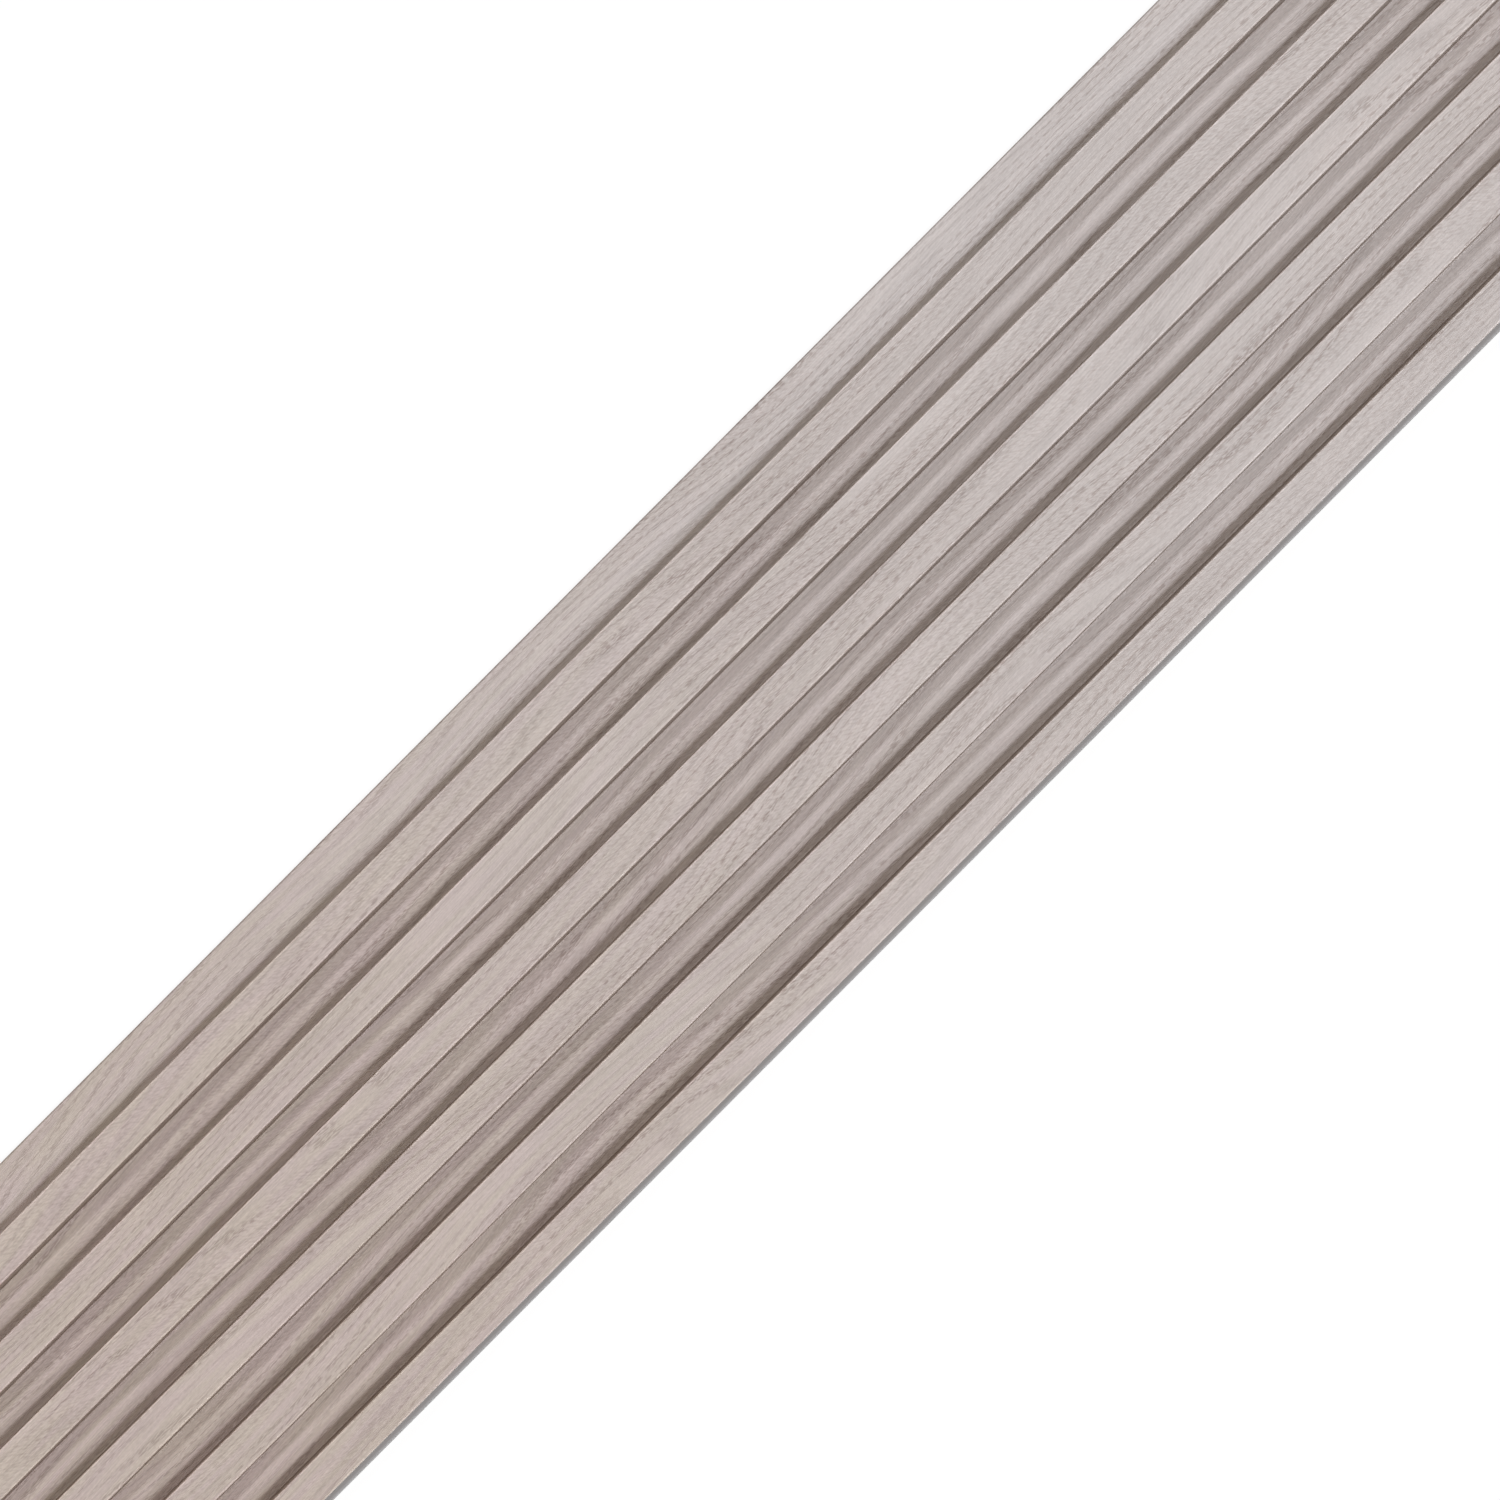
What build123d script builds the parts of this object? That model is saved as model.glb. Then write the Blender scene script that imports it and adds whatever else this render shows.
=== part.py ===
from build123d import *
import math
import os

# Slat wall panel: one length of extruded foam cladding, wrapped in a printed wood-grain film.
# It lies on its back. X runs along the panel, Y runs across it from the tongue edge to the slot
# edge, and Z rises from the back to the slat faces. All sizes are in millimetres and degrees.

# Stock
panel_length = 2700.0
panel_thickness = 12.0
web_thickness = 3.5

# Slats
slat_count = 6
slat_pitch = 20.0
slat_face_width = 9.5
slat_wall_lean = 2.4
slat_edge_radius = 0.4
slat_root_radius = 0.5

# Lap joint: the tongue edge slides into the slot under the last slat of the panel beside it
lap_width = 3.5
lip_thickness = 1.6
lip_reach = 2.3
lip_chamfer = 0.3
joint_clearance = 0.1
joint_end_gap = 0.3
tongue_chamfer = 0.35

# Adhesive channels along the back, one under each slat that the slot doesn't cut into
channel_width = 6.0
channel_depth = 1.0
channel_wall_lean = 30.0

# Heights above the back
slat_height = panel_thickness - web_thickness
slot_floor = lip_thickness
slot_ceiling = web_thickness + joint_clearance
rebate_height = lip_thickness + joint_clearance

# Places across the panel, measured from the tongue edge
groove_width = slat_pitch - slat_face_width
first_slat_edge = lap_width + groove_width
last_slat_edge = first_slat_edge + (slat_count - 1) * slat_pitch + slat_face_width
panel_width = last_slat_edge + lip_reach
slot_end = last_slat_edge - lap_width - joint_end_gap
rebate_end = lap_width + lip_reach + joint_end_gap
slat_centres = [
    first_slat_edge + slat_face_width / 2 + index * slat_pitch for index in range(slat_count)
]

# How far a slat wall spreads outwards between the slat face and the groove floor
wall_spread = slat_height * math.tan(math.radians(slat_wall_lean))


def block(low_y, high_y, low_z, high_z):
    """A rectangle of the cross-section between two places and two heights."""
    centre = Pos((low_y + high_y) / 2, (low_z + high_z) / 2)
    return centre * Rectangle(high_y - low_y, high_z - low_z)


def slat(centre_y):
    """One slat above the web, with its two walls leaning in towards the face."""
    root_width = slat_face_width + 2 * wall_spread
    outline = Trapezoid(root_width, slat_height, 90 - slat_wall_lean)
    return Pos(centre_y, web_thickness + slat_height / 2) * outline


def adhesive_channel(centre_y):
    """A shallow channel in the back that keys the adhesive, widest at its mouth."""
    outline = Trapezoid(channel_width, channel_depth, 90 - channel_wall_lean)
    return Pos(centre_y, channel_depth / 2) * outline


def tongue_rebate():
    """The room under the tongue for the lip of the panel beside it."""
    return block(-joint_end_gap, rebate_end, -joint_clearance, rebate_height)


def joint_slot():
    """The slot that takes the next panel's tongue. Past the last slat it bares the lip."""
    return block(slot_end, panel_width + joint_end_gap, slot_floor, slot_ceiling)


def corners(section, test):
    """The corners of the cross-section whose place and height pass the test."""
    return [corner for corner in section.vertices() if test(corner.X, corner.Y)]


def near(value, target):
    """Whether two sizes are the same, to a hundredth of a millimetre."""
    return abs(value - target) < 0.01


def rounded_slats(section):
    """Rounds the slat faces' edges and the slot's mouth, where the film turns a corner."""
    mouth = last_slat_edge
    film_corners = corners(
        section,
        lambda y, z: near(z, panel_thickness) or (near(z, slot_ceiling) and y > mouth),
    )
    return fillet(film_corners, slat_edge_radius)


def rounded_roots(section):
    """Rounds the inner corners where the slat walls meet the groove floors."""
    clear_of_tip = first_slat_edge / 2
    roots = corners(section, lambda y, z: near(z, web_thickness) and y > clear_of_tip)
    return fillet(roots, slat_root_radius)


def eased_tips(section):
    """Eases the tip of the tongue on both sides, and the outer edge of the lip."""
    section = chamfer(corners(section, lambda y, z: near(y, 0)), tongue_chamfer)
    lip_edge = corners(section, lambda y, z: near(y, panel_width) and near(z, lip_thickness))
    return chamfer(lip_edge, lip_chamfer)


def cross_section():
    """The extruded outline, with Y across the page and Z up it."""
    section = block(0, panel_width, 0, web_thickness)
    for centre_y in slat_centres:
        section += slat(centre_y)
    section -= tongue_rebate()
    section -= joint_slot()
    for centre_y in slat_centres[:-1]:
        section -= adhesive_channel(centre_y)
    return eased_tips(rounded_roots(rounded_slats(section)))


def slat_panel():
    """The whole panel, centred along X and Y with its back at height zero."""
    centred = Pos(-panel_width / 2, 0) * cross_section()
    return extrude(Plane.YZ * centred, panel_length / 2, both=True)


os.makedirs("parts", exist_ok=True)
panel = slat_panel()
export_step(panel, "parts/slat_panel.step")
print("panel width", round(panel_width, 2), "cover width", slat_count * slat_pitch)
print("solid volume in litres", round(panel.volume / 1e6, 4))
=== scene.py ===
# %% [markdown]
# The object is one length of slat wall panel. It is extruded in light plastic foam, with six
# square slats, flat grooves between them and a lap joint along its two long edges, and its face
# is wrapped in a thin film printed with warm grey oak. The CAD model already has every real
# edge, so this lesson adds no new geometry to the panel. It makes the camera, the lamps and the
# floor, and one material that knows where the film lies and where the bare foam shows.

# %% Load the CAD model
import math

import bpy
from mathutils import Matrix, Vector

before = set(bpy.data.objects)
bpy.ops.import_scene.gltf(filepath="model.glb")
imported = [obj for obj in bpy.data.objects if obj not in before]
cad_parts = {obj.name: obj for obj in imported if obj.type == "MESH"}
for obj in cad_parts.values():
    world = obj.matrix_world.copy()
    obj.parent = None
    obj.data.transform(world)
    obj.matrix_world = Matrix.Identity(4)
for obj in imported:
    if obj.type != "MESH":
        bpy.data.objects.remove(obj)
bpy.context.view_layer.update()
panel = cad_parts["slat_panel"]
bpy.ops.object.select_all(action="DESELECT")
bpy.context.scene.view_settings.view_transform = "Standard"

# %% [markdown]
# The camera looks almost straight down on the panel from about three quarters of a metre, and it
# is turned so that the panel runs from corner to corner of the picture and leaves it at both
# ends. A long lens keeps the slats nearly parallel. A small tilt brings one end nearer, which
# shows in the panel's width from end to end. A small lean moves the camera towards the slot side,
# which shows in the flange and the lip, because they lie lower than the slats and so shift
# against them. All of it is one matrix, which is simpler to adjust by fractions of a degree than
# a camera that tracks a target.

# %% Camera
camera_aim = Vector((0, 0.00089, 0.012))
camera_distance = 0.763
camera_lean = math.radians(-1.34)
camera_tilt = math.radians(-0.5)
camera_turn = math.radians(134.91)

bpy.ops.object.camera_add()
camera = bpy.context.object
camera.name = "camera"
camera.data.lens = 70
camera.data.sensor_width = 36
camera_facing = Matrix.Rotation(camera_lean, 4, "X") @ Matrix.Rotation(camera_tilt, 4, "Y")
camera_facing = camera_facing @ Matrix.Rotation(camera_turn, 4, "Z")
camera_place = camera_aim + camera_facing @ Vector((0, 0, camera_distance))
camera.matrix_world = Matrix.Translation(camera_place) @ camera_facing
bpy.context.scene.camera = camera
print("camera stands at", [round(1000 * place) for place in camera_place], "mm")

# %% [markdown]
# The grooves tell where the lamps are: each lamp leaves a slat's shadow on the groove floor
# beside it, and for a groove of this depth the shadow's width gives the lamp's angle. Two soft
# lamps stand on the slot side and one on the tongue side. Sun lamps suit a panel this long,
# because they light all of it alike, though the photo's own light falls off a little towards its
# corners. A sun's angle makes its shadow's edge as soft as a strip light's. With the room's own
# light their shares add up to about one, so a colour renders about as it is written.

# %% Lamps
cool_white = (0.97, 1.0, 1.08)


def add_lamp(name, lean, drift, spread, share):
    """A far, soft lamp that leans across the panel and drifts along it, in degrees."""
    across = math.tan(math.radians(lean))
    along = math.tan(math.radians(drift))
    towards_lamp = Vector((along, across, 1)).normalized()
    bpy.ops.object.light_add(type="SUN", location=2 * towards_lamp)
    lamp = bpy.context.object
    lamp.name = name
    lamp.rotation_euler = towards_lamp.to_track_quat("Z", "Y").to_euler()
    lamp.data.angle = math.radians(spread)
    lamp.data.energy = share * math.pi / towards_lamp.z
    lamp.data.color = cool_white
    print(name, "gives", share, "of the light")


add_lamp("slot_side_lamp", lean=18.0, drift=-22, spread=7, share=0.43)
add_lamp("slot_side_low_lamp", lean=28.5, drift=-18, spread=6, share=0.16)
add_lamp("tongue_side_lamp", lean=-24.6, drift=-20, spread=7, share=0.245)

# %% [markdown]
# Worlds and materials are made of nodes, and their maths reads best as plain expressions. This
# class wraps an output of a node. Adding or multiplying two of them adds a Math node to their
# tree, and its node method adds any other kind. The few helpers after it are the steps that
# this file takes again and again.

# %% Shader maths


class Wire:
    """An output of a node. Arithmetic on wires adds Math nodes to their tree."""

    def __init__(self, tree, socket=None):
        self.tree = tree
        self.socket = socket

    def node(self, kind, settings=None, inputs=None, output=0):
        """Adds a node, sets it, feeds its sockets and returns one output or a tuple of them."""
        made = self.tree.nodes.new(kind)
        for name, value in (settings or {}).items():
            setattr(made, name, value)
        for name, value in (inputs or {}).items():
            if isinstance(value, Wire):
                self.tree.links.new(value.socket, made.inputs[name])
            else:
                made.inputs[name].default_value = value
        if isinstance(output, tuple):
            return tuple(Wire(self.tree, made.outputs[name]) for name in output)
        return Wire(self.tree, made.outputs[output]) if made.outputs else None

    def maths(self, operation, *values):
        return self.node("ShaderNodeMath", {"operation": operation}, dict(enumerate(values)))

    def __add__(self, other):
        return self.maths("ADD", self, other)

    def __sub__(self, other):
        return self.maths("SUBTRACT", self, other)

    def __mul__(self, other):
        return self.maths("MULTIPLY", self, other)

    def __truediv__(self, other):
        return self.maths("DIVIDE", self, other)

    def __rsub__(self, other):
        return self.maths("SUBTRACT", other, self)

    __radd__ = __add__
    __rmul__ = __mul__


def step_up(value, low, high):
    """0 below low, 1 above high, and a smooth rise between them."""
    limits = {"Value": value, "From Min": low, "From Max": high}
    return value.node("ShaderNodeMapRange", {"interpolation_type": "SMOOTHSTEP"}, limits)


def lower_of(first, second):
    return first.maths("MINIMUM", first, second)


def higher_of(first, second):
    return first.maths("MAXIMUM", first, second)


def size_of(value):
    """The value without its sign."""
    return value.maths("ABSOLUTE", value)


def mixed(mask, first, second):
    """The first colour where the mask is 0 and the second where it is 1."""
    return mask.node("ShaderNodeMix", {"data_type": "RGBA"}, {0: mask, 6: first, 7: second}, 2)


def stained(mask, colour, stain):
    """The colour multiplied by a stain where the mask is 1."""
    settings = {"data_type": "RGBA", "blend_type": "MULTIPLY"}
    return mask.node("ShaderNodeMix", settings, {0: mask, 6: colour, 7: stain}, 2)


def dimmed(colour, factor):
    """A colour made lighter or darker by a number."""
    return colour.node("ShaderNodeVectorMath", {"operation": "SCALE"}, {0: colour, "Scale": factor})


def from_screen(red, green, blue):
    """A colour given as shown on screen, from 0 to 255, as the linear colour that a shader takes."""
    parts = [value / 255 for value in (red, green, blue)]
    return (*[((part + 0.055) / 1.055) ** 2.4 for part in parts], 1)


def new_tree(owner):
    """Empties a world's or a material's node tree and returns a wire to start from."""
    owner.use_nodes = True
    owner.node_tree.nodes.clear()
    return Wire(owner.node_tree)


print("shader helpers are ready")

# %% [markdown]
# The world gives the light that comes from all round. Above the horizon it is a dim, warm room,
# which fills the grooves. Below the horizon it is as bright as a pale floor, because the floor
# itself is left out of that light, and it lights the panel's sides, ends and back. The camera
# and reflections see plain white instead.

# %% World
room_light = (0.17, 0.09, 0.01, 1)
floor_bounce = (0.82, 0.83, 0.86, 1)
background = (1, 1, 1, 1)

world = bpy.data.worlds.new("studio")
bpy.context.scene.world = world
world_start = new_tree(world)
world_direction = world_start.node("ShaderNodeTexCoord", output="Generated")
world_height = world_start.node("ShaderNodeSeparateXYZ", inputs={0: world_direction}, output="Z")
all_round = mixed(step_up(world_height, -0.05, 0.05), floor_bounce, room_light)
rays = ("Is Camera Ray", "Is Glossy Ray", "Is Transmission Ray")
camera_ray, glossy_ray, glass_ray = world_start.node("ShaderNodeLightPath", output=rays)
seen_directly = higher_of(camera_ray, higher_of(glossy_ray, glass_ray))
world_colour = mixed(seen_directly, all_round, background)
world_light = world_start.node("ShaderNodeBackground", inputs={"Color": world_colour})
world_start.node("ShaderNodeOutputWorld", inputs={"Surface": world_light})
print("world has", len(world.node_tree.nodes), "nodes")

# %% [markdown]
# The floor is one large plane just under the panel. It should look white and still hold the
# panel's faint shadow, so most of its white is its own glow, and the rest is a diffuse white
# that the lamps light and the panel shades. The glow doesn't reach the panel, because the floor
# is hidden from diffuse rays. Its underside is clear, so the panel's back can be looked at from
# below.

# %% Floor
floor_drop = 0.0002
floor_glow = 0.92
floor_white = (0.10, 0.10, 0.10, 1)

bpy.ops.mesh.primitive_plane_add(size=40, location=(0, 0, -floor_drop))
floor = bpy.context.object
floor.name = "floor"
floor.visible_diffuse = False

floor_finish = bpy.data.materials.new("pale_floor")
floor_start = new_tree(floor_finish)
floor_matt = floor_start.node("ShaderNodeBsdfDiffuse", inputs={"Color": floor_white})
floor_shine = floor_start.node("ShaderNodeEmission", inputs={"Strength": floor_glow})
floor_top = floor_start.node("ShaderNodeAddShader", inputs={0: floor_matt, 1: floor_shine})
floor_clear = floor_start.node("ShaderNodeBsdfTransparent")
from_below = floor_start.node("ShaderNodeNewGeometry", output="Backfacing")
floor_look = {0: from_below, 1: floor_top, 2: floor_clear}
floor_both = floor_start.node("ShaderNodeMixShader", inputs=floor_look)
floor_start.node("ShaderNodeOutputMaterial", inputs={"Surface": floor_both})
floor.data.materials.append(floor_finish)
print("floor is at", 1000 * floor.location.z, "mm")

# %% [markdown]
# A printed film is laid over the whole face in one sheet, so its grain runs over a slat's edge,
# down the wall and across the groove without a break. A texture that is only projected from
# above would smear down the walls. So the film gets its own coordinate: the distance walked
# across the panel along its surface, up and down every slat, worked out from the object's
# coordinates. All lengths in the material are in millimetres.

# %% The film's own coordinate
slat_pitch = 20
first_slat_middle = -44.15
half_slat = 4.75
web_top = 3.5
slat_top = 12
slat_height = slat_top - web_top
tongue_edge = -62.9
panel_end = 1350

panel_finish = bpy.data.materials.new("wood_grain_film")
start = new_tree(panel_finish)
object_place = start.node("ShaderNodeTexCoord", output="Object")
axes = start.node("ShaderNodeSeparateXYZ", inputs={0: object_place}, output=("X", "Y", "Z"))
along, across, height = [axis * 1000 for axis in axes]
slat_number = (across - (first_slat_middle - slat_pitch / 2)) / slat_pitch
slat_number = start.maths("FLOOR", slat_number)
off_middle = across - (first_slat_middle + slat_number * slat_pitch)
climb = lower_of(higher_of(height - web_top, 0), slat_height)
which_half = start.maths("SIGN", off_middle)
walked = across + slat_number * (2 * slat_height) + slat_height - which_half * (climb - slat_height)
print("film coordinate adds", slat_height * 2, "mm for each slat")

# %% [markdown]
# Sawn oak shows long growth rings that sway a little as they run along the board. Here they are
# a sine wave across the film, pushed to and fro by two smooth noises, one long and one short.
# The noise node is stretched by dividing the place by a length and a width, and a slow wander
# of the whole grain keeps it from running dead straight.

# %% Growth rings


def grain_noise(length, width, detail=0.0, shift=0.0, line=None):
    """Smooth noise, about 0.5 on average, in patches of this length and width."""
    line = walked if line is None else line
    place = {"X": along / length + shift, "Y": line / width + shift}
    place = start.node("ShaderNodeCombineXYZ", inputs=place)
    inputs = {"Vector": place, "Scale": 1, "Detail": detail}
    return start.node("ShaderNodeTexNoise", {"noise_dimensions": "2D"}, inputs)


ring_gap = 2.7
wander_width = 18
long_sway = 10
short_sway = 1.2

wander = (grain_noise(150, 45, shift=3.7) - 0.5) * wander_width
grain_line = walked + wander
ring_sway = grain_noise(260, 60, shift=11.3) * long_sway
ring_sway += grain_noise(50, 4, shift=2.9) * short_sway
ring_turns = (grain_line / ring_gap + ring_sway) * (2 * math.pi)
ring_wave = start.maths("SINE", ring_turns) * 0.5 + 0.5
ring_line = step_up(ring_wave, 0.55, 0.97)
print("rings are", ring_gap, "mm apart on average")

# %% [markdown]
# Oak's pores are short dark dashes that gather along the rings, and crowd in some places and
# thin out in others. They are a fine stretched noise cut off sharply, and then kept only where
# a ring passes or pores crowd. In a few stretches short slanted ripples cross the grain. Finer
# fibres, a speckle of the embossing, broad bands and a change of cast finish the figure.

# %% Pores, ripples and fibres
crowding = step_up(grain_noise(120, 7, shift=21.9, line=grain_line), 0.40, 0.62)
pore_shape = step_up(grain_noise(2.2, 0.26, shift=5.1, line=grain_line), 0.44, 0.56)
pore_share = lower_of(0.03 + ring_line * (0.4 + 0.6 * crowding) + 0.25 * crowding, 1)
pores = pore_shape * pore_share

ripple_slant = 0.36
slanted_line = grain_line + along * ripple_slant
rippled = step_up(grain_noise(330, 13, shift=51.3, line=grain_line), 0.46, 0.60)
ripples = step_up(grain_noise(1.9, 0.42, shift=8.8, line=slanted_line), 0.46, 0.66) * rippled

fibres = grain_noise(12, 0.32, detail=1.0, shift=7.7, line=grain_line)
speckle = grain_noise(1.1, 0.5, shift=9.6)
broad_bands = grain_noise(60, 4, shift=14.2, line=grain_line)
cast = grain_noise(38, 3.2, detail=2.0, shift=31.4, line=grain_line)
print("grain uses", len(panel_finish.node_tree.nodes), "nodes so far")

# %% [markdown]
# The print is a warm grey that leans to beige in one streak and to pink in the next. Painted
# light makes it drift slowly to a lighter, cooler grey and back along the panel. The photo shows
# one such change in half a metre, and that it repeats is a guess. That it repeats, and that it
# is in the print and not in the light, are guesses.
# The pores and ripples darken the print, and the fibres and bands make it a little lighter or
# darker.

# %% The print and its painted light drift
beige = from_screen(195, 186, 176)
pink = from_screen(196, 184, 180)
painted_light_grey = from_screen(199, 195, 193)
pore_brown = from_screen(138, 121, 114)
drift_length = 800
drift_start = 35
pore_depth = 0.42
ripple_depth = 0.19

# Painted light: the colour drifts slowly to a lighter, cooler grey and back along the panel.
drift_turns = (along - drift_start) * (2 * math.pi / drift_length)
painted_light_drift = 0.5 - 0.5 * start.maths("SINE", drift_turns)
tint = mixed(painted_light_drift, mixed(step_up(cast, 0.3, 0.7), beige, pink), painted_light_grey)
figure = mixed(pores * pore_depth + ripples * ripple_depth, tint, pore_brown)
light_grain = (fibres - 0.5) * 0.33 + (speckle - 0.5) * 0.12
dark_grain = (0.5 - broad_bands) * 0.12 + ring_line * 0.04
printed = dimmed(figure, 1 + light_grain - dark_grain)
print("print drifts over", drift_length, "mm")

# %% [markdown]
# The film is printed alike all over, but light doesn't fall alike on it, and some of that light
# and shade is painted into its colour here. Painted shade makes the groove floors browner than
# the slats and the walls browner still, and lays a thin dark line at the foot of each wall and a
# darker one where the film rolls under at the tongue edge. A painted highlight lays a lighter line
# along a slat's two top edges. Each multiplies the print in a place worked out from the object's
# coordinates, and their strengths are set to match the photo.

# %% Painted shade and highlight on the film
painted_groove_shade = (0.94, 0.905, 0.88, 1)
painted_wall_shade = (0.72, 0.66, 0.61, 1)
painted_corner_shade = (0.58, 0.53, 0.49, 1)
painted_rolled_edge_shade = (0.70, 0.68, 0.67, 1)
painted_edge_highlight = 0.23

from_middle = size_of(off_middle)
on_top = step_up(height, slat_top - 0.5, slat_top - 0.3)
on_wall = step_up(height, web_top + 0.3, web_top + 0.5) * (1 - on_top)
past_flange = step_up(across, first_slat_middle - 1, first_slat_middle + 1)
on_groove_floor = (1 - on_top) * (1 - on_wall) * past_flange
# The places beside a slat repeat with the pitch, and the flange has no wall to stand beside.
beyond_flange = step_up(across, first_slat_middle - 10, first_slat_middle - 9)
beside_wall = step_up(from_middle, half_slat + 0.15, half_slat + 0.3)
off_wall = step_up(from_middle, half_slat + 0.37, half_slat + 0.5)
in_corner = beside_wall * (1 - off_wall) * (1 - on_top) * beyond_flange
on_rolled_edge = 1 - step_up(across, tongue_edge + 0.35, tongue_edge + 0.5)
on_slat_edge = step_up(from_middle, half_slat - 0.55, half_slat - 0.35) * on_top

# Painted shade: the groove floors are darker and browner than the slats.
film_colour = stained(on_groove_floor, printed, painted_groove_shade)
# Painted shade on the slat walls.
film_colour = stained(on_wall, film_colour, painted_wall_shade)
# Painted shade: a thin dark line at the foot of each wall, where the corner is shaded.
film_colour = stained(in_corner, film_colour, painted_corner_shade)
# Painted shade along the tongue edge, where the film rolls away from the light.
film_colour = stained(on_rolled_edge, film_colour, painted_rolled_edge_shade)
# Painted highlight: a lighter line along each slat's two top edges.
film_colour = dimmed(film_colour, 1 + on_slat_edge * painted_edge_highlight)
# Of what this prints, the 4 stains are painted shade and the lighter slat edge is a painted highlight.
print("film has 4 stains and a lighter slat edge")

# %% [markdown]
# The foam is bare where the film stops: on the sawn ends, the back, the slot and the lip below
# it. One mask marks the film, so that one mesh can carry both finishes. It needs no cut lines in
# the mesh, and its edge stays sharp however near the camera comes.

# %% Where the film lies
film_stop = 3.32
slot_roof = 3.6
slot_start = 56.0

at_end = step_up(size_of(along), panel_end - 0.06, panel_end - 0.04)
on_face = step_up(height, film_stop - 0.02, film_stop + 0.02)
on_tongue_tip = 1 - step_up(across, tongue_edge + 0.55, tongue_edge + 0.6)
round_tongue = step_up(height, 2.0, 2.1) * on_tongue_tip
under_roof = 1 - step_up(height, slot_roof + 0.02, slot_roof + 0.06)
in_slot = step_up(across, slot_start, slot_start + 0.1) * under_roof
has_film = higher_of(on_face, round_tongue) * (1 - in_slot) * (1 - at_end)
print("film ends at the slot's roof,", slot_roof, "mm above the back")

# %% [markdown]
# The bare foam is a pale, cool grey. A saw opens its fine cells at the ends and leaves marks that
# run up and down, the die leaves long faint lines on the back, and painted shade darkens the lip
# where it runs in under the last slat. The cells are Voronoi cells, which are round and close
# together as bubbles are.

# %% Foam core
foam_grey = from_screen(186, 188, 189)
foam_shade = from_screen(166, 168, 170)
painted_crevice_shade = (0.72, 0.69, 0.67, 1)
cell_size = 0.45
saw_gap = 0.35
saw_length = 15
lip_start = 60.5
lip_top = 1.6

cell_inputs = {"Vector": object_place, "Scale": 1000 / cell_size}
cells = step_up(start.node("ShaderNodeTexVoronoi", inputs=cell_inputs), 0.15, 0.7)
saw_place = {"X": height / saw_length, "Y": across / saw_gap}
saw_place = start.node("ShaderNodeCombineXYZ", inputs=saw_place)
saw_inputs = {"Vector": saw_place, "Scale": 1}
saw_marks = start.node("ShaderNodeTexNoise", {"noise_dimensions": "2D"}, saw_inputs)
die_lines = grain_noise(900, 0.8, detail=2.0, shift=41.0, line=across)
foam_wear = (cells * 0.5 + (saw_marks - 0.5) * 0.8) * at_end + (die_lines - 0.5) * 0.6
foam_colour = mixed(foam_wear, foam_grey, foam_shade)
on_lip = step_up(height, lip_top - 0.2, lip_top - 0.1) * (1 - at_end)
near_slat = 1 - step_up(across, lip_start + 1.3, lip_start + 2.2)
in_crevice = near_slat * step_up(across, lip_start, lip_start + 0.1) * on_lip
# Painted shade on the lip where it runs in under the last slat.
foam_colour = stained(in_crevice, foam_colour, painted_crevice_shade)
print("foam cells are", cell_size, "mm across")

# %% [markdown]
# Both finishes are matt plastic. The film is slightly smoother, and its pores and fibres are
# embossed a few hundredths of a millimetre deep, which is far too fine for geometry and right
# for bump. The two are whole shaders, joined by a Mix Shader whose factor is the film's mask.

# %% Panel material
film_relief = 0.00004
foam_relief = 0.00006
matt = {"Specular IOR Level": 0.25}


def surface(colour, roughness, dents, depth):
    """A matt plastic surface with dents this deep, in metres."""
    bump = start.node("ShaderNodeBump", inputs={"Height": 0 - dents, "Distance": depth, "Strength": 1})
    look = {"Base Color": colour, "Roughness": roughness, "Normal": bump, **matt}
    return start.node("ShaderNodeBsdfPrincipled", inputs=look)


film = surface(film_colour, 0.42 + pores * 0.15, pore_shape * 0.6 + fibres * 0.6, film_relief)
foam = surface(foam_colour, 0.62, (cells + saw_marks) * at_end, foam_relief)
both = start.node("ShaderNodeMixShader", inputs={0: has_film, 1: foam, 2: film})
start.node("ShaderNodeOutputMaterial", inputs={"Surface": both})
panel.material_slots[0].material = panel_finish
print("panel material has", len(panel_finish.node_tree.nodes), "nodes")
